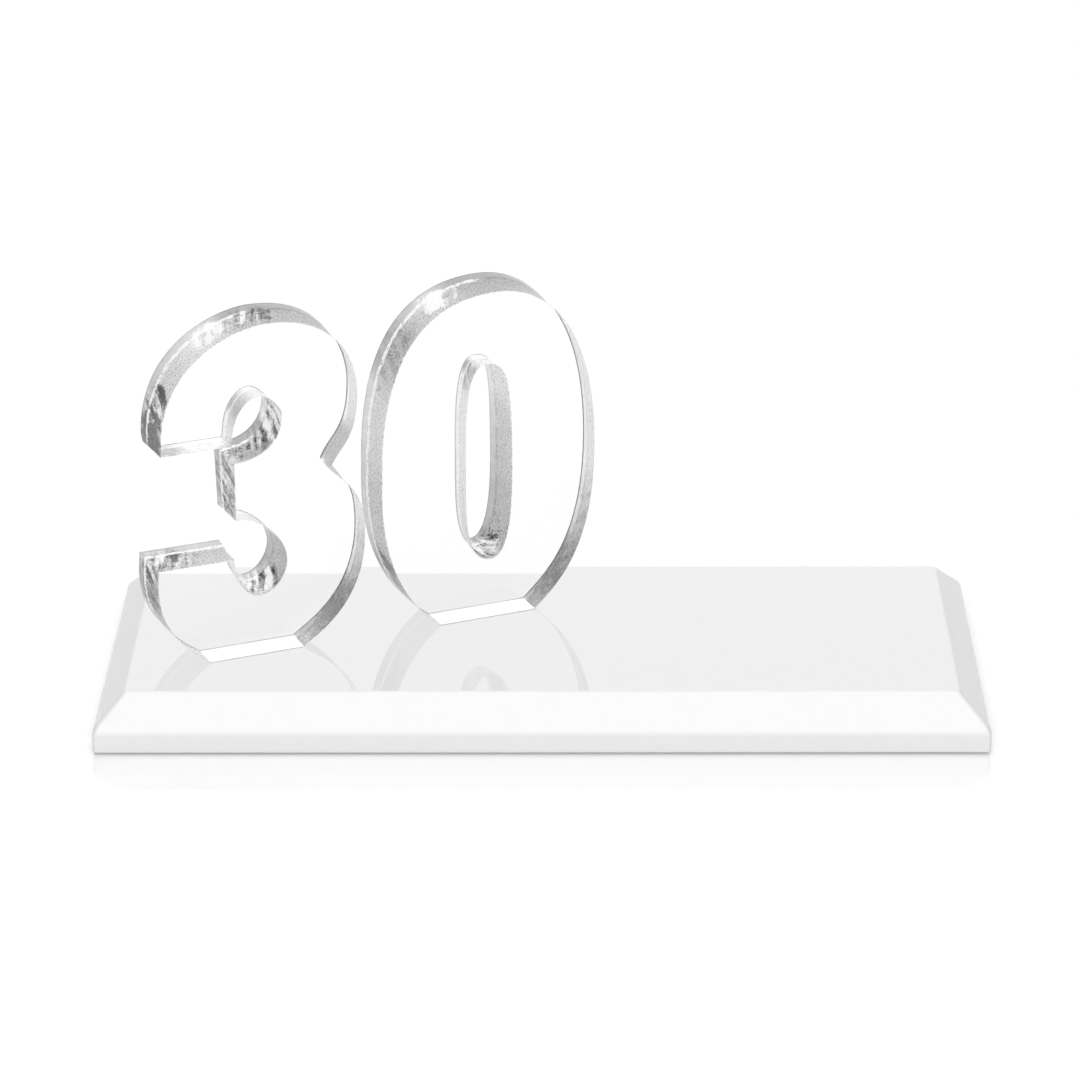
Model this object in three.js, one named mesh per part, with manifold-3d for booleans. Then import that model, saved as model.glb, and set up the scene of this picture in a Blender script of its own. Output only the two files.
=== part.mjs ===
// A table number sign: two clear acrylic numerals bonded to a gloss white plinth on four thin pads.
// Millimetres, +Z up. The origin is on the table top, under the middle of the plinth.
// +X runs along the plinth to the right and +Y runs to the back.
import * as THREE from "three";
import { mergeVertices } from "three/addons/utils/BufferGeometryUtils.js";
import Module from "manifold-3d";

// Plinth
const plinthLength = 250;
const plinthDepth = 110;
const plinthThickness = 15;
const bevelWidth = 8.6; // how far the sloping edge reaches in from the sides
const bevelDrop = 8.6; // how far it comes down from the top, so the slope is 45 degrees
const cornerRound = 1.2; // upright corners
const ridgeRound = 1.5; // where the slope turns down into the upright edge
const crestRound = 0.5; // where the top turns down into the slope

// Pads under the plinth
const padDiameter = 12;
const padThickness = 0.8;
const padInset = 14; // from the plinth's sides to a pad's middle

// Numerals
const numeralHeight = 98.6; // the outlines below are drawn at drawnHeight and scaled to this
const numeralThickness = 15;
const bondThickness = 0.2; // clear adhesive under each foot
const numeralGap = 5; // clear space between the two numerals at their widest

// The row that the numerals stand in
const rowTurn = 24.1; // degrees, the right-hand end further back
const rowFromLeftEnd = 73.7; // from the plinth's left end to the middle of the feet
const rowBack = 0.8; // middle of the feet behind the plinth's middle
const zeroForward = 1.3; // the zero stands a little in front of the three

// Fineness of the curves
const edgeSteps = 6;
const threeSteps = 32;
const zeroSteps = 48;
const padSides = 48;

// Outlines, in millimetres at drawnHeight: x from the middle of the foot, y up from the foot.
const drawnHeight = 98.6;
const three = {
  footLength: 28.3,
  upperTip: [-26.8, 63.7], // lower corner of the upper arm's free end
  top: [5.2, 98.4],
  upperRight: [31.9, 75],
  waist: [23.3, 52.4], // the notch between the two bowls
  lowerRight: [33.4, 32],
  lowerTip: [-28.6, 29.9], // upper corner of the lower arm's free end
  lowerArmRoot: [-6.1, 29.9],
  lowerBowlBottom: [1.5, 17.9],
  lowerBowlRight: [9.6, 27.6],
  lowerBowlTop: [-3.6, 41.4],
  stemBottom: [-5.3, 41.4],
  stemTop: [-5.3, 58.6],
  upperBowlRight: [9.2, 71.1],
  upperBowlTop: [2.6, 77.4],
  upperArmRoot: [-5.8, 63.7],
};
const zero = {
  footLength: 29.6,
  left: [-32.2, 47.6],
  top: [3.5, 98.6],
  right: [33.8, 49],
  counterBottom: [0.8, 18],
  counterLeft: [-6.5, 46],
  counterTop: [0, 77.3],
  counterRight: [7.8, 52],
};

const plinthWhite = new THREE.MeshStandardMaterial({
  color: 0xf4f4f4,
  roughness: 0.12,
  metalness: 0,
});
const clearAcrylic = new THREE.MeshStandardMaterial({
  color: 0xeef2f2,
  roughness: 0.05,
  metalness: 0,
  transparent: true,
  opacity: 0.35,
});
const clearBond = new THREE.MeshStandardMaterial({
  color: 0xdde1e1,
  roughness: 0.2,
  metalness: 0,
  transparent: true,
  opacity: 0.5,
});
const softPad = new THREE.MeshStandardMaterial({
  color: 0xd8d8d6,
  roughness: 0.85,
  metalness: 0,
});

const wasm = await Module();
wasm.setup();

function toSolid(geometry) {
  const bare = geometry.clone();
  bare.deleteAttribute("normal");
  bare.deleteAttribute("uv");
  const merged = mergeVertices(bare, 1e-4);
  return new wasm.Manifold(
    new wasm.Mesh({
      numProp: 3,
      vertProperties: merged.attributes.position.array,
      triVerts: new Uint32Array(merged.index.array),
    }),
  );
}

function toGeometry(solid) {
  const mesh = solid.getMesh();
  const geometry = new THREE.BufferGeometry();
  geometry.setAttribute("position", new THREE.BufferAttribute(mesh.vertProperties, 3));
  geometry.setIndex(new THREE.BufferAttribute(mesh.triVerts, 1));
  geometry.computeVertexNormals();
  return geometry;
}

// A closed outline with rounded corners. Each corner is [x, y, round].
function roundedShape(corners) {
  const shape = new THREE.Shape();
  corners.forEach(([x, y, round], i) => {
    const corner = new THREE.Vector2(x, y);
    const before = new THREE.Vector2(...corners.at(i - 1));
    const after = new THREE.Vector2(...corners[(i + 1) % corners.length]);
    const inward = before.sub(corner).normalize();
    const outward = after.sub(corner).normalize();
    const half = inward.angleTo(outward) / 2;
    const reach = round / Math.tan(half);
    const start = corner.clone().addScaledVector(inward, reach);
    const end = corner.clone().addScaledVector(outward, reach);
    if (i === 0) shape.moveTo(start.x, start.y);
    else shape.lineTo(start.x, start.y);
    if (round > 0) shape.quadraticCurveTo(x, y, end.x, end.y);
  });
  shape.closePath();
  return shape;
}

// One upright section of the plinth: flat below, upright edges, sloping shoulders, flat top.
function shoulderedSection(width) {
  const half = width / 2;
  const edgeTop = plinthThickness - bevelDrop;
  const topHalf = half - bevelWidth;
  return roundedShape([
    [-half, 0, 0],
    [half, 0, 0],
    [half, edgeTop, ridgeRound],
    [topHalf, plinthThickness, crestRound],
    [-topHalf, plinthThickness, crestRound],
    [-half, edgeTop, ridgeRound],
  ]);
}

function extruded(shape, depth, steps) {
  return new THREE.ExtrudeGeometry(shape, {
    depth,
    curveSegments: steps,
    bevelEnabled: false,
  });
}

// The plinth is what its side section, its end section and its footprint have in common.
function plinthGeometry() {
  const along = extruded(shoulderedSection(plinthLength), plinthDepth, edgeSteps);
  along.rotateX(Math.PI / 2).translate(0, plinthDepth / 2, 0);
  const across = extruded(shoulderedSection(plinthDepth), plinthLength, edgeSteps);
  across.rotateX(Math.PI / 2).rotateZ(Math.PI / 2).translate(-plinthLength / 2, 0, 0);
  const x = plinthLength / 2;
  const y = plinthDepth / 2;
  const outline = [[-x, -y], [x, -y], [x, y], [-x, y]];
  const footprint = extruded(
    roundedShape(outline.map(([a, b]) => [a, b, cornerRound])),
    plinthThickness,
    edgeSteps,
  );
  return toGeometry(toSolid(along).intersect(toSolid(across)).intersect(toSolid(footprint)));
}

// Carries a path on to a point by one smooth bend. leave and arrive are the headings in degrees at
// its two ends, and each handle is a share of how far the bend goes along that heading.
function bend(path, [x, y], leave, arrive, leaveShare, arriveShare) {
  const from = path.currentPoint.clone();
  const to = new THREE.Vector2(x, y);
  const span = to.clone().sub(from);
  const out = new THREE.Vector2(1, 0).rotateAround(new THREE.Vector2(), THREE.MathUtils.degToRad(leave));
  const into = new THREE.Vector2(1, 0).rotateAround(new THREE.Vector2(), THREE.MathUtils.degToRad(arrive));
  const a = from.clone().addScaledVector(out, leaveShare * Math.abs(span.dot(out)));
  const b = to.clone().addScaledVector(into, -arriveShare * Math.abs(span.dot(into)));
  path.bezierCurveTo(a.x, a.y, b.x, b.y, x, y);
}

// The three, clockwise from its foot's left end.
function threeShape() {
  const foot = three.footLength / 2;
  const shape = new THREE.Shape();
  shape.moveTo(-foot, 0);
  bend(shape, three.lowerTip, 147, 89, 0.75, 0.16);
  shape.lineTo(...three.lowerArmRoot);
  bend(shape, three.lowerBowlBottom, -90, 0, 0.6, 0.5);
  bend(shape, three.lowerBowlRight, 0, 90, 0.5, 0.5);
  bend(shape, three.lowerBowlTop, 90, 180, 0.55, 0.3);
  shape.lineTo(...three.stemBottom);
  shape.lineTo(...three.stemTop);
  bend(shape, three.upperBowlRight, 2, 90, 0.88, 0.25);
  bend(shape, three.upperBowlTop, 90, 180, 0.34, 0.42);
  bend(shape, three.upperArmRoot, 180, -90, 0.5, 0.6);
  shape.lineTo(...three.upperTip);
  bend(shape, three.top, 92, 0, 0.82, 0.27);
  bend(shape, three.upperRight, 0, -90, 0.96, 0.12);
  bend(shape, three.waist, -90, -113, 0.68, 0.32);
  bend(shape, three.lowerRight, -41, -90, 0.51, 0.47);
  bend(shape, [foot, 0], -90, -134, 0.72, 0.08);
  shape.closePath();
  return shape;
}

// The zero, clockwise from its foot's left end. Its counter is a hole, so it runs the other way.
function zeroShape() {
  const foot = zero.footLength / 2;
  const shape = new THREE.Shape();
  shape.moveTo(-foot, 0);
  bend(shape, zero.left, 145, 90, 0.6, 0.08);
  bend(shape, zero.top, 90, 0, 0.6, 0.72);
  bend(shape, zero.right, 0, -90, 0.56, 0.68);
  bend(shape, [foot, 0], -90, -137, 0.68, 0.21);
  shape.closePath();
  const counter = new THREE.Path();
  counter.moveTo(...zero.counterBottom);
  bend(counter, zero.counterRight, 0, 90, 1.1, 0.3);
  bend(counter, zero.counterTop, 90, 180, 0.91, 0.67);
  bend(counter, zero.counterLeft, 180, -90, 0.97, 0.48);
  bend(counter, zero.counterBottom, -90, 0, 0.39, 1.15);
  counter.closePath();
  shape.holes.push(counter);
  return shape;
}

// An upright plate in the shape of a numeral, standing on its foot with its faces to front and back.
function numeralGeometry(shape, steps) {
  const scale = numeralHeight / drawnHeight;
  const plate = extruded(shape, numeralThickness, steps);
  plate.scale(scale, scale, 1);
  plate.rotateX(Math.PI / 2).translate(0, numeralThickness / 2, 0);
  return plate;
}

function bondGeometry(footLength) {
  const length = footLength * (numeralHeight / drawnHeight);
  const film = new THREE.BoxGeometry(length, numeralThickness, bondThickness);
  film.translate(0, 0, bondThickness / 2);
  return film;
}

function padGeometry() {
  const pad = new THREE.CylinderGeometry(padDiameter / 2, padDiameter / 2, padThickness, padSides);
  pad.rotateX(Math.PI / 2).translate(0, 0, padThickness / 2);
  return pad;
}

function piece(name, geometry, material) {
  const mesh = new THREE.Mesh(geometry, material);
  mesh.name = name;
  return mesh;
}

const sign = new THREE.Group();

const plinth = piece("plinth", plinthGeometry(), plinthWhite);
plinth.position.z = padThickness;
sign.add(plinth);

for (const [endName, side] of [["left", -1], ["right", 1]]) {
  for (const [faceName, way] of [["front", -1], ["back", 1]]) {
    const pad = piece(`pad_${faceName}_${endName}`, padGeometry(), softPad);
    pad.position.x = side * (plinthLength / 2 - padInset);
    pad.position.y = way * (plinthDepth / 2 - padInset);
    sign.add(pad);
  }
}

// The row's own middle is halfway between the outer ends of the two feet.
const row = new THREE.Group();
row.position.set(rowFromLeftEnd - plinthLength / 2, rowBack, padThickness + plinthThickness);
row.rotation.z = THREE.MathUtils.degToRad(rowTurn);
sign.add(row);

const scale = numeralHeight / drawnHeight;
const pitch = (three.lowerRight[0] - zero.left[0]) * scale + numeralGap;
const feetLength = (three.footLength / 2 + zero.footLength / 2) * scale + pitch;
const threeX = (three.footLength / 2) * scale - feetLength / 2;
const numerals = [
  ["3", threeShape(), threeSteps, three.footLength, threeX, 0],
  ["0", zeroShape(), zeroSteps, zero.footLength, threeX + pitch, -zeroForward],
];
for (const [figure, shape, steps, footLength, x, y] of numerals) {
  const bond = piece(`bond_${figure}`, bondGeometry(footLength), clearBond);
  bond.position.set(x, y, 0);
  const numeral = piece(`numeral_${figure}`, numeralGeometry(shape, steps), clearAcrylic);
  numeral.position.set(x, y, bondThickness);
  row.add(bond, numeral);
}

export default sign;
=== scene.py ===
# Table number sign: two clear acrylic numerals bonded to a gloss white plinth.
# Metres, +Z up, +X along the plinth and +Y to the back, the same frame as the CAD model.
from math import radians

import bmesh
import bpy
from mathutils import Euler, Matrix, Vector


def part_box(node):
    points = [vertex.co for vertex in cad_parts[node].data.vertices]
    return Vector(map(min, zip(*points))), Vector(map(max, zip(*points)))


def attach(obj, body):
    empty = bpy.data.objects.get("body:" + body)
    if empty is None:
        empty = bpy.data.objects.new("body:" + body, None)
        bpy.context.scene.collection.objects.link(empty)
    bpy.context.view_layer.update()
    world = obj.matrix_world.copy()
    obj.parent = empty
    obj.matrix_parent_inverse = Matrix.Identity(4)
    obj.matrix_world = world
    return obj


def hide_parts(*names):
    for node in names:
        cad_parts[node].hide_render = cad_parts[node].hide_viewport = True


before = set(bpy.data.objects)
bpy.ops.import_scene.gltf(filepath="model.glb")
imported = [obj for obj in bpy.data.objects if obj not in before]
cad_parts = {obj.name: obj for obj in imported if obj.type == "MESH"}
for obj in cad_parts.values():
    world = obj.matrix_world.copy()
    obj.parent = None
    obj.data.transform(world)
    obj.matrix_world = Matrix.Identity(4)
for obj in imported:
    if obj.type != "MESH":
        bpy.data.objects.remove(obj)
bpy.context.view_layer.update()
scene = bpy.context.scene
mm = 0.001
weld = 0.002 * mm  # vertices closer than this are one
level = 0.01 * mm  # and places closer than this lie in one plane
upward = Vector((0, 0, 1))


def mergedCopy(node):
    # a CAD node's mesh as a bmesh, with its loose triangles joined up
    bm = bmesh.new()
    bm.from_mesh(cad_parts[node].data)
    bmesh.ops.remove_doubles(bm, verts=bm.verts, dist=weld)
    bm.normal_update()
    return bm


def onlyKind(geometry, kind):
    return [g for g in geometry if isinstance(g, kind)]


def roundEdges(bm, edges, offset, segments):
    bmesh.ops.bevel(
        bm, geom=edges, offset=offset, offset_type="OFFSET", affect="EDGES",
        segments=segments, profile=0.5, material=-1,
    )


def addPiece(name, bm, materials, sharpAngle=30, flatMaterials=()):
    bm.normal_update()
    mesh = bpy.data.meshes.new(name)
    bm.to_mesh(mesh)
    bm.free()
    inherited = mesh.attributes.get("custom_normal")
    if inherited:
        mesh.attributes.remove(inherited)  # the CAD mesh's own shading doesn't fit the new shape
    for polygon in mesh.polygons:
        polygon.use_smooth = polygon.material_index not in flatMaterials
    mesh.set_sharp_from_angle(angle=radians(sharpAngle))
    for material in materials:
        mesh.materials.append(material)
    piece = bpy.data.objects.new(name, mesh)
    scene.collection.objects.link(piece)
    return piece


def standFor(piece, node):
    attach(piece, "root")
    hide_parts(node)


def newMaterial(name):
    material = bpy.data.materials.new(name)
    material.use_nodes = True
    nodes = material.node_tree.nodes
    return material, material.node_tree, nodes["Principled BSDF"]


def addNode(tree, kind, inputs=None, **settings):
    node = tree.nodes.new(kind)
    for key, value in settings.items():
        setattr(node, key, value)
    for key, value in (inputs or {}).items():
        if isinstance(value, bpy.types.NodeSocket):
            tree.links.new(value, node.inputs[key])
        else:
            node.inputs[key].default_value = value
    return node


def mapped(tree, vector, scale, turn=0):
    return addNode(tree, "ShaderNodeMapping", {
        "Vector": vector, "Scale": scale, "Rotation": (0, 0, turn),
    }).outputs["Vector"]


def fillingCoords(tree, scale=(1, 1, 1)):
    # coordinates in metres for a pattern that fills a piece
    source = addNode(tree, "ShaderNodeTexCoord").outputs["Object"]
    return mapped(tree, source, scale)


def noise(tree, vector, scale, detail=3, roughness=0.5):
    return addNode(tree, "ShaderNodeTexNoise", {
        "Vector": vector, "Scale": scale, "Detail": detail, "Roughness": roughness,
    }).outputs["Fac"]


def remap(tree, value, fromLow, fromHigh, toLow, toHigh):
    return addNode(tree, "ShaderNodeMapRange", {
        "Value": value, "From Min": fromLow, "From Max": fromHigh,
        "To Min": toLow, "To Max": toHigh,
    }).outputs["Result"]


def stretch(tree, value, reach, toLow, toHigh):
    # a noise seldom strays far from a half, and its middle is spread between two values
    return remap(tree, value, 0.5 - reach, 0.5 + reach, toLow, toHigh)


def combine(tree, operation, a, b=0):
    return addNode(tree, "ShaderNodeMath", {0: a, 1: b}, operation=operation).outputs[0]


def plus(tree, a, b):
    return combine(tree, "ADD", a, b)


def times(tree, a, b):
    return combine(tree, "MULTIPLY", a, b)


def measure(tree, operation, vector, other):
    # a number made from two vectors, such as a dot product or a distance
    inputs = {0: vector, 1: other}
    return addNode(tree, "ShaderNodeVectorMath", inputs, operation=operation).outputs["Value"]


def splitVector(tree, vector):
    return addNode(tree, "ShaderNodeSeparateXYZ", {"Vector": vector}).outputs


def mixColors(tree, share, first, second):
    inputs = {0: share, 6: first, 7: second}
    return addNode(tree, "ShaderNodeMix", inputs, data_type="RGBA").outputs[2]


def addBump(tree, shader, height, strength, distance):
    bump = addNode(tree, "ShaderNodeBump", {
        "Height": height, "Strength": strength, "Distance": distance,
    })
    tree.links.new(bump.outputs["Normal"], shader.inputs["Normal"])


plinthLook = {
    "ior": 1.49,
    "color": (0.797, 0.797, 0.8, 1),
    # painted shade: the upright faces, and those looking left or right, are coloured darker than the top
    "edgeShadeColor": (0.74, 0.74, 0.743, 1),
    "sideShadeColor": (0.69, 0.69, 0.693, 1),
    "edgeShadeUpTo": 0.5,  # how much a face may look up and still have some of the painted shade of the upright faces
    "sideShadeBetween": (0.2, 0.7),  # how far it looks aside where the painted shade of the sides starts and is full
    "milledBetween": (0.9, 0.99),  # how far it looks up where the milling fades and is gone
    "topRoughness": (0.012, 0.032),
    "sawnRoughness": (0.12, 0.22),
    "hazeScale": 38,
    "sawMarks": (60, 60, 2600),  # fine across the sheet's thickness and long along its edges
    "rippleStrength": 0.5,
    "rippleHeight": 0.004 * mm,
    "bevelWidth": 8.6 * mm,
    "bevelDrop": 8.6 * mm,
    "cornerRound": 1.2 * mm,
    "ridgeRound": 1.5 * mm,  # the largest of the rounds
    "crestRound": 0.5 * mm,
    "footRound": 0.35 * mm,
    "roundSegments": 5,
}


def glossWhite(look):
    material, tree, shader = newMaterial("glossWhiteAcrylic")
    shader.inputs["IOR"].default_value = look["ior"]
    haze = noise(tree, fillingCoords(tree), look["hazeScale"], 4)
    lines = noise(tree, fillingCoords(tree, look["sawMarks"]), 1, 2)
    # the flat top keeps the sheet's own gloss, and the milled slopes and edges are duller
    looks = splitVector(tree, addNode(tree, "ShaderNodeNewGeometry").outputs["Normal"])
    milled = remap(tree, looks["Z"], *look["milledBetween"], 1, 0)
    raised = remap(tree, looks["Z"], 0, look["edgeShadeUpTo"], 0, 1)
    aside = remap(tree, combine(tree, "ABSOLUTE", looks["X"]), *look["sideShadeBetween"], 0, 1)
    # painted shade: faces that look sideways or down take darker colours, for the dimmer light that
    # reaches them
    tint = mixColors(tree, raised, look["edgeShadeColor"], look["color"])
    tint = mixColors(tree, aside, tint, look["sideShadeColor"])
    tree.links.new(tint, shader.inputs["Base Color"])
    gloss = remap(tree, haze, 0.35, 0.7, *look["topRoughness"])
    sawn = stretch(tree, lines, 0.2, *look["sawnRoughness"])
    roughness = addNode(tree, "ShaderNodeMix", {0: milled, 2: gloss, 3: sawn}).outputs[0]
    tree.links.new(roughness, shader.inputs["Roughness"])
    addBump(tree, shader, times(tree, lines, milled), look["rippleStrength"], look["rippleHeight"])
    return material


def buildPlinth(look):
    low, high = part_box("plinth")
    middle = (low + high) / 2
    size = high - low
    bm = bmesh.new()
    bmesh.ops.create_cube(bm, size=1)
    bmesh.ops.scale(bm, vec=size, verts=bm.verts)
    bmesh.ops.translate(bm, vec=middle, verts=bm.verts)

    def sliceOff(outward, point):
        # cuts along a plane, takes away what lies outside it, and closes the cut with a new face
        everything = bm.verts[:] + bm.edges[:] + bm.faces[:]
        cut = bmesh.ops.bisect_plane(
            bm, geom=everything, dist=1e-7, plane_co=point, plane_no=outward, clear_outer=True,
        )
        bmesh.ops.contextual_create(bm, geom=onlyKind(cut["geom_cut"], bmesh.types.BMEdge))

    for outward in (Vector((1, 0, 0)), Vector((-1, 0, 0)), Vector((0, 1, 0)), Vector((0, -1, 0))):
        side = abs(outward.dot(size)) / 2
        ridge = middle + outward * side
        ridge.z = high.z - look["bevelDrop"]
        slope = outward * look["bevelDrop"] + upward * look["bevelWidth"]
        sliceOff(slope.normalized(), ridge)
    bmesh.ops.recalc_face_normals(bm, faces=bm.faces)

    # each edge's own round, as a share of the largest
    weights = bm.edges.layers.float.new("bevel_weight_edge")
    largest = look["ridgeRound"]
    ridgeHeight = high.z - look["bevelDrop"]
    for edge in bm.edges:
        a, b = (v.co for v in edge.verts)
        if abs(a.z - b.z) > level:
            edge[weights] = look["cornerRound"] / largest
        elif abs(a.z - high.z) < level:
            edge[weights] = look["crestRound"] / largest
        elif abs(a.z - ridgeHeight) < level:
            edge[weights] = 1
        else:
            edge[weights] = look["footRound"] / largest
    piece = addPiece("plinth_body", bm, [glossWhite(look)])
    rounds = piece.modifiers.new("rounds", "BEVEL")
    rounds.width = largest
    rounds.segments = look["roundSegments"]
    rounds.limit_method = "WEIGHT"
    rounds.harden_normals = True
    standFor(piece, "plinth")


buildPlinth(plinthLook)
print("plinth done")


numeralLook = {
    "ior": 1.49,
    "tint": (0.998, 0.999, 0.999, 1),
    "hazeScale": 60,
    "hazeRoughness": 0.015,
    "hazeStrength": 0.1,
    "hazeHeight": 0.002 * mm,

    "streakScale": 430,
    "streakLean": radians(22),
    "streakStretch": 0.015,  # of the cut's own map, first as it leans and then once more
    "streakSquash": 0.12,
    "blotchScale": 330,
    "grainScale": 1500,
    "cloudScale": 26,
    "dashScale": 700,

    "wallClear": 0.5,  # the rest of a wall's light is scattered by its frost
    "highlightClear": 0.1,
    "highlightBetween": (0.9, 1.2),  # the tones at which the painted highlight starts to turn white and is full
    "wallDark": 0.04,
    "wallPale": 1,
    "wallTone": 0.67,  # the even frost, as a share of the way from dark to pale
    "cloudTone": 0.1,  # how far each pattern may lift or lower that tone
    "grainTone": 0.15,
    "streakTone": 0.7,
    "blotchTone": 0.35,
    "wallRoughness": (0.08, 0.38),
    "reliefGrain": 0.8,
    "reliefStrength": 0.8,
    "reliefHeight": 0.12 * mm,

    "rimShadeLeft": 0.6,  # how much of a wall's tone is left at its back rim, on either side, where a painted shade line darkens it
    "rimShadeRight": 0.05,
    "rimBetween": (10 * mm, 16 * mm),  # how far to the right the one turns into the other
    "rimDepth": (0.94, 0.96),
    "lineDepth": 0.7,  # where the ragged line is, as a share of the thickness
    "lineWander": 0.03,
    "lineSoft": 0.01,
    "lineHalf": 0.03,
    "lineFade": 1.6,  # it's gone at this many times its half width
    "linePaintedLight": 1.6,  # painted highlight makes it pale on the left of a numeral, and painted shade makes it dark on its right
    "linePaintedShade": -0.25,
    "lineTurn": 4 * mm,
    "backLift": 0.07,  # the cut behind the line is paler, with this much left of its texture
    "backTexture": 0.4,

    "rimBreak": 0.15 * mm,  # the narrow broken edge all round each face
    "footWetted": 0.92,  # share of the foot's depth that the adhesive makes clear
    "kerfStart": 0.3,  # share of the thickness after which the cut runs outwards
    "kerfFlare": 1.1 * mm,  # where the wall faces up, half of it where it's upright, none below
    "layers": 12,

    "placeCore": 0.55,  # share of a place's radius within which it is at full strength
    "placeRagged": 0.25,
    # marked places on the walls in millimetres: right of the middle of the foot, above it and radius,
    # and then how much each lifts or lowers the tone, which is partly the cut's own mottling and partly
    # painted highlight and painted shade, such as the dark places low on the right, and how torn it is
    "places": {"numeral_3": [
        (-30, 66, 11, -1.1, 0.9),
        (-28, 76, 8, -0.6, 0.9),
        (-15, 62, 9, 0.5, -0.6),
        (-11, 95.5, 6.5, 0.5, 0.7),
        (1, 98, 8, -0.1, 0.7),
        (-10, 52, 12, -0.2, 0.8),
        (8, 64, 11, 0.05, 0.8),
        (-27, 31, 10, -0.05, 0.8),
        (-31, 22, 9, -0.33, 0.4),
        (2, 18, 8, 0.1, 0.9),
        (29, 16, 22, -0.6, 0.15),
        (20, 3, 12, -0.3, 0),
    ], "numeral_0": [
        (-12, 95.5, 7, 0.55, 0.8),
        (-25, 80, 12, -0.2, 0.2),
        (-5, 75, 8, -0.3, 0.5),
        (1, 18, 8, 0, 0.9),
        (8, 55, 26, 0.17, 0),
        (-7, 50, 24, -0.15, 0),
        (-28, 16, 9, -0.4, 0.4),
        (28, 18, 24, -0.55, 0.15),
        (20, 3, 12, -0.25, 0),
    ]},
}


def polishedFace(look):
    material, tree, shader = newMaterial("polishedFace")
    shader.inputs["Base Color"].default_value = look["tint"]
    shader.inputs["IOR"].default_value = look["ior"]
    shader.inputs["Transmission Weight"].default_value = 1
    haze = noise(tree, fillingCoords(tree), look["hazeScale"], 3)
    roughness = remap(tree, haze, 0.55, 0.8, 0, look["hazeRoughness"])
    tree.links.new(roughness, shader.inputs["Roughness"])
    addBump(tree, shader, haze, look["hazeStrength"], look["hazeHeight"])
    return material


def facingOf(bm):
    # the way that a numeral's front face looks: of the upright faces to the front, the largest
    fronts = [f for f in bm.faces if abs(f.normal.z) < 0.01 and f.normal.y < -0.5]
    return max(fronts, key=lambda f: f.calc_area()).normal.normalized()


def footMiddle(node):
    # the middle of a numeral's foot, and the way to the right along its front face
    bm = mergedCopy(node)
    right = upward.cross(facingOf(bm))
    bm.free()
    low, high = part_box(node)
    middle = (low + high) / 2
    middle.z = low.z
    return middle, right


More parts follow.
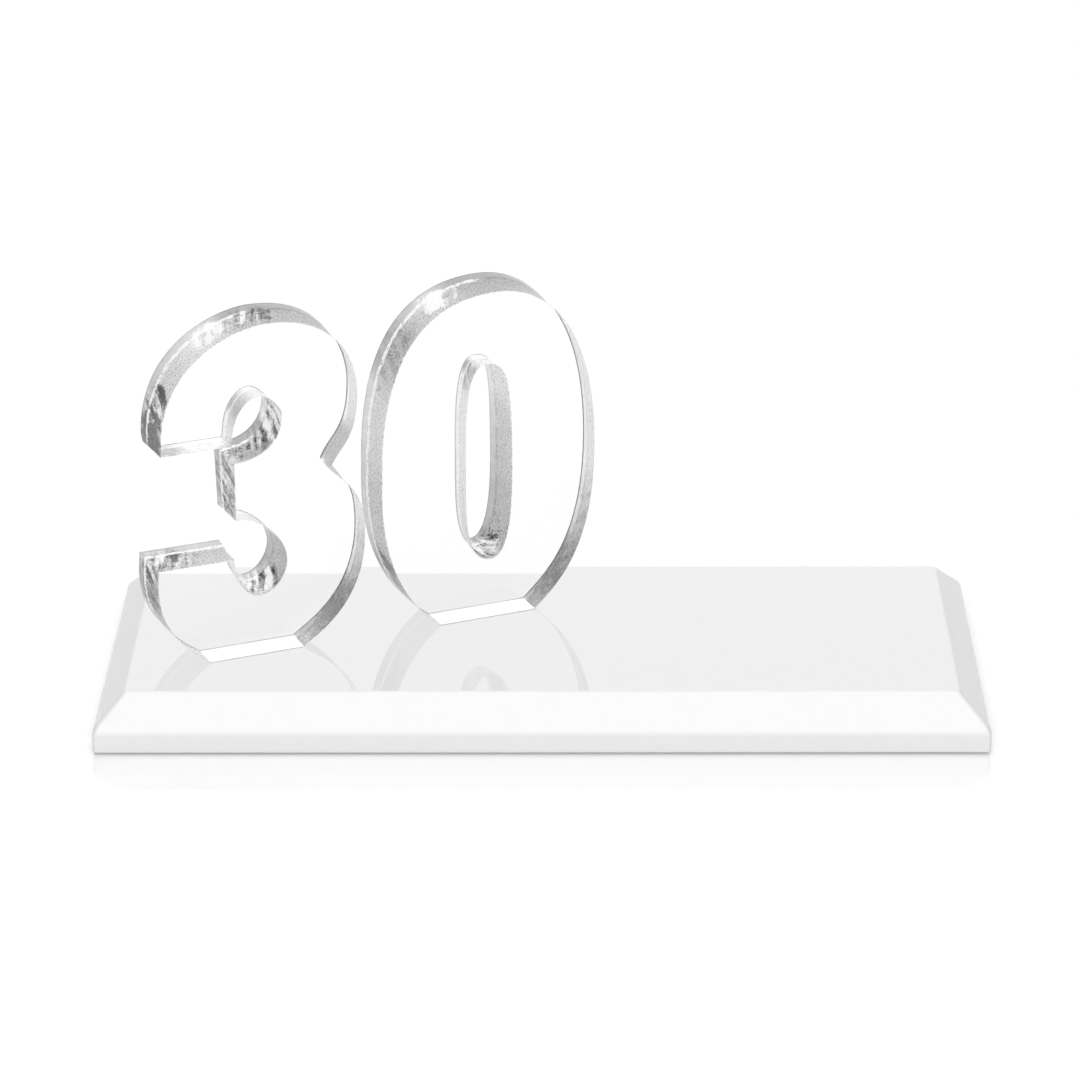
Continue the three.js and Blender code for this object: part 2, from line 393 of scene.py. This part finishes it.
def cutWall(name, look, node):
    # UV: x is how far along the outline in metres, y is the depth from the front face as a share
    material, tree, shader = newMaterial(name)
    shader.inputs["IOR"].default_value = look["ior"]
    place = addNode(tree, "ShaderNodeTexCoord").outputs["UV"]
    depth = splitVector(tree, place)["Y"]
    leaning = mapped(tree, place, (1, look["streakStretch"], 1), look["streakLean"])
    across = mapped(tree, leaning, (1, look["streakSquash"], 1))
    filling = fillingCoords(tree)
    middle, right = footMiddle(node)
    sideways = combine(tree, "SUBTRACT", measure(tree, "DOT_PRODUCT", filling, right), middle.dot(right))
    streaks = noise(tree, across, look["streakScale"], 4, 0.65)
    blotches = noise(tree, filling, look["blotchScale"], 4, 0.7)
    grain = noise(tree, filling, look["grainScale"], 3, 0.8)
    clouds = noise(tree, across, look["cloudScale"], 1)

    # an even frost, with places that the cutter tore, and places where the tone is lifted or lowered,
    # partly the cut's mottling and partly painted highlight and painted shade
    tone, drift = look["wallTone"], look["cloudTone"]
    shade = stretch(tree, clouds, 0.15, tone - drift, tone + drift)
    torn = 0
    ragged = stretch(tree, blotches, 0.2, -look["placeRagged"], look["placeRagged"])
    # each place lightens or darkens the tone, partly as the cut's mottling and partly as painted
    # highlight and painted shade
    for x, z, radius, lift, tear in look["places"][node]:
        centre = middle + (right * x + upward * z) * mm
        radius *= mm
        away = measure(tree, "DISTANCE", filling, centre)
        away = plus(tree, away, times(tree, ragged, radius))
        near = remap(tree, away, radius, radius * look["placeCore"], 0, 1)
        shade = plus(tree, shade, times(tree, near, lift))
        torn = plus(tree, torn, times(tree, near, tear))

    # towards the back comes a ragged line, and behind it the cut is paler and smoother
    wander = stretch(tree, blotches, 0.2, -look["lineWander"], look["lineWander"])
    edge = plus(tree, depth, wander)
    lineStart = look["lineDepth"] - look["lineSoft"]
    lineEnd = look["lineDepth"] + look["lineSoft"]
    front = remap(tree, edge, lineStart, lineEnd, 1, look["backTexture"])
    behind = remap(tree, edge, lineStart, lineEnd, 0, look["backLift"])
    lineNear = combine(tree, "SUBTRACT", edge, look["lineDepth"])
    lineNear = times(tree, lineNear, lineNear)
    half = look["lineHalf"]
    line = remap(tree, lineNear, half ** 2, (half * look["lineFade"]) ** 2, 1, 0)
    dashes = remap(tree, noise(tree, filling, look["dashScale"], 3, 0.7), 0.4, 0.47, 0, 1)
    line = times(tree, line, dashes)
    turn = look["lineTurn"]
    # painted highlight on the line at the left of a numeral, and painted shade at its right
    linePaintedLight = remap(tree, sideways, -turn, turn, look["linePaintedLight"], look["linePaintedShade"])
    # painted shade: the back rim is darkened a little on the left of a numeral and nearly to black on
    # its right
    rimShade = remap(tree, sideways, *look["rimBetween"], look["rimShadeLeft"], look["rimShadeRight"])
    rim = remap(tree, depth, *look["rimDepth"], 1, rimShade)

    frost = stretch(tree, grain, 0.12, -look["grainTone"], look["grainTone"])
    frost = times(tree, frost, front)
    tearing = stretch(tree, streaks, 0.08, -look["streakTone"], look["streakTone"])
    flaking = stretch(tree, blotches, 0.1, -look["blotchTone"], look["blotchTone"])
    tear = times(tree, times(tree, plus(tree, tearing, flaking), torn), front)
    shade = plus(tree, shade, plus(tree, frost, tear))
    shade = plus(tree, shade, behind)
    shade = plus(tree, shade, times(tree, line, linePaintedLight))
    shade = times(tree, shade, rim)
    dark, pale = look["wallDark"], look["wallPale"]
    tint = mixColors(tree, shade, (dark, dark, dark, 1), (pale, pale, pale, 1))
    tree.links.new(tint, shader.inputs["Base Color"])

    # the brightest places are a painted highlight, which lets less light through and looks white
    clear = remap(tree, shade, *look["highlightBetween"], look["wallClear"], look["highlightClear"])
    tree.links.new(clear, shader.inputs["Transmission Weight"])
    rough = remap(tree, times(tree, grain, front), 0.1, 0.6, *look["wallRoughness"])
    tree.links.new(rough, shader.inputs["Roughness"])
    relief = plus(tree, times(tree, streaks, torn), times(tree, frost, look["reliefGrain"]))
    addBump(tree, shader, relief, look["reliefStrength"], look["reliefHeight"])
    return material


def walkLoops(edges):
    # closed runs of vertices, each from its lowest vertex that is furthest to the left
    left = set(edges)
    loops = []
    while left:
        ends = [v for e in left for v in e.verts]
        start = min(ends, key=lambda v: (round(v.co.z, 6), v.co.x))
        run = [start]
        edge = min((e for e in start.link_edges if e in left), key=lambda e: e.other_vert(start).co.x)
        while edge:
            left.discard(edge)
            run.append(edge.other_vert(run[-1]))
            edge = next((e for e in run[-1].link_edges if e in left), None)
        loops.append(run)
    return loops


def buildNumeral(name, node, look, materials):
    bm = mergedCopy(node)
    facing = facingOf(bm)
    right = upward.cross(facing)
    reach = [v.co.dot(facing) for v in bm.verts]
    frontPlane = max(reach)
    thickness = frontPlane - min(reach)
    footLevel = min(v.co.z for v in bm.verts)

    def depthOf(point):
        return frontPlane - point.dot(facing)

    # the front face is all that is kept of the CAD mesh, and a copy of it closes the back
    behind = {v for v in bm.verts if depthOf(v.co) > level}
    others = [f for f in bm.faces if behind.intersection(f.verts)]
    bmesh.ops.delete(bm, geom=others, context="FACES")
    frontRim = [e for e in bm.edges if e.is_boundary]

    # how far along its outline each column of the wall is, which the drawn layers inherit
    distance = bm.verts.layers.float.new("distance")
    girth = bm.verts.layers.float.new("girth")
    for run in walkLoops(frontRim):
        total = 0
        for before, after in zip(run, run[1:]):
            before[distance] = total
            total += (after.co - before.co).length
        for vert in run:
            vert[girth] = total

    # the wall is drawn back from the outline in layers, close together at the two rims
    whole = bm.verts[:] + bm.edges[:] + bm.faces[:]
    backFace = bmesh.ops.duplicate(bm, geom=whole)["geom"]
    backVerts = onlyKind(backFace, bmesh.types.BMVert)
    bmesh.ops.translate(bm, vec=-facing * thickness, verts=backVerts)
    shares = [look["rimBreak"] / thickness]
    shares += [(i + 1) / look["layers"] for i in range(look["layers"] - 1)]
    shares += [1 - look["rimBreak"] / thickness, 1]
    rim = frontRim
    depth = 0
    for share in shares:
        drawn = bmesh.ops.extrude_edge_only(bm, edges=rim)["geom"]
        verts = onlyKind(drawn, bmesh.types.BMVert)
        bmesh.ops.translate(bm, vec=facing * (depth - share) * thickness, verts=verts)
        fresh = set(verts)
        edges = onlyKind(drawn, bmesh.types.BMEdge)
        rim = [e for e in edges if all(v in fresh for v in e.verts)]
        depth = share
    bmesh.ops.remove_doubles(bm, verts=backVerts + list(fresh), dist=weld)
    bmesh.ops.recalc_face_normals(bm, faces=bm.faces)

    # materials, and the wall's own map: distance along the outline, and depth from the front face
    uvs = bm.loops.layers.uv.new("cut")
    for face in bm.faces:
        if abs(face.normal.dot(facing)) > 0.9:  # the front and back faces
            face.material_index = 0
            for loop in face.loops:
                loop[uvs].uv = (loop.vert.co.dot(right), loop.vert.co.z)
            continue
        centre = face.calc_center_median()
        bonded = face.normal.z < -0.99 and centre.z < footLevel + level
        bonded = bonded and depthOf(centre) < thickness * look["footWetted"]
        face.material_index = 0 if bonded else 1
        across = [loop.vert[distance] for loop in face.loops]
        loopLength = face.loops[0].vert[girth]
        wraps = max(across) - min(across) > loopLength / 2
        for loop, place in zip(face.loops, across):
            if wraps and place < loopLength / 2:
                place += loopLength
            loop[uvs].uv = (place, depthOf(loop.vert.co) / thickness)

    # the rims are broken, and towards the back the cut runs outwards
    moves = {}
    for vert in bm.verts:
        walls = [f.normal for f in vert.link_faces if abs(f.normal.dot(facing)) < 0.5]
        outward = sum(walls, Vector())
        if outward.length < 0.01:
            continue  # a vertex inside a face has no wall beside it
        outward.normalize()
        share = depthOf(vert.co) / thickness
        late = max(0, (share - look["kerfStart"]) / (1 - look["kerfStart"]))
        amount = look["kerfFlare"] * late * late * (3 - 2 * late)  # it starts and ends smoothly
        amount *= (1 + outward.z) / 2
        if abs(vert.co.z - footLevel) < level:
            amount = 0  # the foot stays flat
        if share < 0.001 or share > 0.999:
            amount -= look["rimBreak"]
        moves[vert] = outward * amount
    for vert, move in moves.items():
        vert.co += move
    piece = addPiece(name, bm, materials, flatMaterials=(0,))
    piece.visible_diffuse = False  # clear acrylic throws no shadow under light this soft
    piece.visible_shadow = False
    standFor(piece, node)


faceMaterial = polishedFace(numeralLook)
threeWall = cutWall("cutWallThree", numeralLook, "numeral_3")
zeroWall = cutWall("cutWallZero", numeralLook, "numeral_0")
buildNumeral("three", "numeral_3", numeralLook, [faceMaterial, threeWall])
buildNumeral("zero", "numeral_0", numeralLook, [faceMaterial, zeroWall])
print("numerals done")


bondLook = {
    "ior": 1.48,
    "color": (0.6, 0.61, 0.61, 1),
    "bubbleScale": 900,
    "roughness": (0.12, 0.35),
    "bumpStrength": 0.3,
    "bumpHeight": 0.01 * mm,
    "edgeRound": 0.06 * mm,
    "headroom": 0.02 * mm,
    "segments": 3,
    "sharpAngle": 50,
}


def curedBond(look):
    material, tree, shader = newMaterial("curedBond")
    shader.inputs["Base Color"].default_value = look["color"]
    shader.inputs["IOR"].default_value = look["ior"]
    bubbles = noise(tree, fillingCoords(tree), look["bubbleScale"], 3)
    roughness = remap(tree, bubbles, 0.35, 0.7, *look["roughness"])
    tree.links.new(roughness, shader.inputs["Roughness"])
    addBump(tree, shader, bubbles, look["bumpStrength"], look["bumpHeight"])
    return material


def buildBond(name, node, look, material):
    bm = mergedCopy(node)
    bmesh.ops.dissolve_limit(bm, angle_limit=radians(1), verts=bm.verts, edges=bm.edges)
    roundEdges(bm, bm.edges[:], look["edgeRound"], look["segments"])
    # its top is a hair lower, so that it and the foot don't lie in one plane
    low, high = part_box(node)
    shrink = 1 - look["headroom"] / (high.z - low.z)
    bmesh.ops.translate(bm, vec=(0, 0, -low.z), verts=bm.verts)
    bmesh.ops.scale(bm, vec=(1, 1, shrink), verts=bm.verts)
    bmesh.ops.translate(bm, vec=(0, 0, low.z), verts=bm.verts)
    piece = addPiece(name, bm, [material], look["sharpAngle"])
    standFor(piece, node)


bondMaterial = curedBond(bondLook)
buildBond("bond_under_three", "bond_3", bondLook, bondMaterial)
buildBond("bond_under_zero", "bond_0", bondLook, bondMaterial)
print("bonds done")


padLook = {
    "ior": 1.5,
    "poreColor": (0.5, 0.5, 0.49, 1),
    "color": (0.6, 0.6, 0.59, 1),
    "poreScale": 3000,
    "roughness": (0.7, 0.9),
    "poreStrength": 0.6,
    "poreDepth": 0.03 * mm,
    "sides": 64,
    "rimRound": 0.3 * mm,
    "rimSegments": 4,
    "ringInset": 0.5,  # share of the radius
}


def softPad(look):
    material, tree, shader = newMaterial("softPad")
    shader.inputs["IOR"].default_value = look["ior"]
    pores = noise(tree, fillingCoords(tree), look["poreScale"], 4)
    share = stretch(tree, pores, 0.15, 0, 1)
    tint = mixColors(tree, share, look["poreColor"], look["color"])
    tree.links.new(tint, shader.inputs["Base Color"])
    roughness = stretch(tree, pores, 0.2, *look["roughness"])
    tree.links.new(roughness, shader.inputs["Roughness"])
    addBump(tree, shader, pores, look["poreStrength"], look["poreDepth"])
    return material


def buildPad(name, node, look, material):
    low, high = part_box(node)
    middle = (low + high) / 2
    radius = (high.x - low.x) / 2
    bm = bmesh.new()
    bmesh.ops.create_cone(
        bm, cap_ends=True, segments=look["sides"], radius1=radius, radius2=radius,
        depth=high.z - low.z,
    )
    rims = [e for e in bm.edges if abs(e.verts[0].co.z - e.verts[1].co.z) < level]
    roundEdges(bm, rims, look["rimRound"], look["rimSegments"])
    caps = [f for f in bm.faces if abs(f.normal.z) > 0.99]
    inset = radius * look["ringInset"]
    bmesh.ops.inset_region(bm, faces=caps, thickness=inset, use_even_offset=True)
    bmesh.ops.translate(bm, vec=middle, verts=bm.verts)
    piece = addPiece(name, bm, [material])
    standFor(piece, node)


padMaterial = softPad(padLook)
for corner in ("front_left", "front_right", "back_left", "back_right"):
    buildPad(f"foot_pad_{corner}", f"pad_{corner}", padLook, padMaterial)
print("pads done")


studio = {
    "floorWidth": 6,
    "floorCells": 8,
    "floorIor": 2,
    "floorColor": (0.82, 0.82, 0.82, 1),
    "floorGlow": 0.12,  # the floor's own faint light where it's polished, and where it's matt
    "mattGlow": 0.18,
    "floorRoughness": (0.06, 0.08),
    "hazeScale": 3,
    "polishSpecular": 0.5,
    "polishInFront": 24 * mm,
    "polishFade": 3 * mm,
    "skyLevel": 0.08,
    "skySides": 0.2,  # what's left of the light from the sides
    "sidesBetween": (0.04, 0.6),  # the squares of how far aside it starts to fade and stops
    # where each soft light is, the cosines at which it is full and at which it ends, and its gain
    "softboxes": [
        ((0, 1, 0.3), 0.85, 0.25, 1.12),
        ((0, -0.7, 0.8), 0.95, 0.4, 2.2),
    ],
    "lens": 149.9,
    "sensorWidth": 36,
    "nearest": 10 * mm,
    "cameraFromFront": Vector((10.1, -1140, 515.8)) * mm,  # from the middle of the front bottom edge
    "pitchDown": 21.633,
    "turnRight": -0.516,
    "roll": -0.251,
}


def buildFloor(look):
    material, tree, shader = newMaterial("paleFloor")
    shader.inputs["Base Color"].default_value = look["floorColor"]
    shader.inputs["Emission Color"].default_value = (1, 1, 1, 1)
    shader.inputs["IOR"].default_value = look["floorIor"]
    place = fillingCoords(tree)
    # the floor is polished where it mirrors the plinth's front, and matt everywhere else
    low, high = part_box("plinth")
    start = low.y - look["polishInFront"]
    soft = look["polishFade"]
    where = splitVector(tree, place)
    beside = combine(tree, "ABSOLUTE", where["X"])
    polished = remap(tree, beside, high.x + soft, high.x + 2 * soft, 1, 0)
    for edge, inside in ((start, start + soft), (low.y + 4 * soft, low.y + 2 * soft)):
        within = remap(tree, where["Y"], edge, inside, 0, 1)
        polished = times(tree, polished, within)
    specular = times(tree, polished, look["polishSpecular"])
    tree.links.new(specular, shader.inputs["Specular IOR Level"])
    glow = remap(tree, polished, 0, 1, look["mattGlow"], look["floorGlow"])
    tree.links.new(glow, shader.inputs["Emission Strength"])
    haze = noise(tree, place, look["hazeScale"], 3)
    roughness = stretch(tree, haze, 0.2, *look["floorRoughness"])
    tree.links.new(roughness, shader.inputs["Roughness"])
    cells = look["floorCells"]
    bm = bmesh.new()
    bmesh.ops.create_grid(bm, x_segments=cells, y_segments=cells, size=look["floorWidth"] / 2)
    addPiece("floor", bm, [material])


def lightSky(look):
    # all of the light is in the sky, because a lamp's shadow behind clear acrylic would be black
    world = bpy.data.worlds.new("studioSky")
    world.use_nodes = True
    scene.world = world
    tree = world.node_tree
    toward = addNode(tree, "ShaderNodeTexCoord").outputs["Generated"]
    light = look["skyLevel"]
    for heading, narrow, wide, gain in look["softboxes"]:
        nearness = measure(tree, "DOT_PRODUCT", toward, Vector(heading).normalized())
        light = plus(tree, light, remap(tree, nearness, wide, narrow, 0, gain))
    aside = splitVector(tree, toward)["X"]
    sides = remap(tree, times(tree, aside, aside), *look["sidesBetween"], 1, look["skySides"])
    light = times(tree, light, sides)
    sky = tree.nodes["Background"]
    sky.inputs["Color"].default_value = (1, 1, 1, 1)
    tree.links.new(light, sky.inputs["Strength"])


def addCamera(look):
    low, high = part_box("plinth")
    start = Vector(((low.x + high.x) / 2, low.y, low.z))
    camera = bpy.data.objects.new("camera", bpy.data.cameras.new("camera"))
    camera.data.lens = look["lens"]
    camera.data.sensor_width = look["sensorWidth"]
    camera.data.clip_start = look["nearest"]
    aim = Euler((radians(90 - look["pitchDown"]), 0, radians(-look["turnRight"])))
    camera.rotation_euler = (
        aim.to_matrix() @ Matrix.Rotation(radians(look["roll"]), 3, "Z")
    ).to_euler()
    camera.location = start + look["cameraFromFront"]
    scene.collection.objects.link(camera)
    scene.camera = camera


buildFloor(studio)
lightSky(studio)
addCamera(studio)
scene.view_settings.view_transform = "Standard"
scene.view_settings.look = "None"

print("stage done")
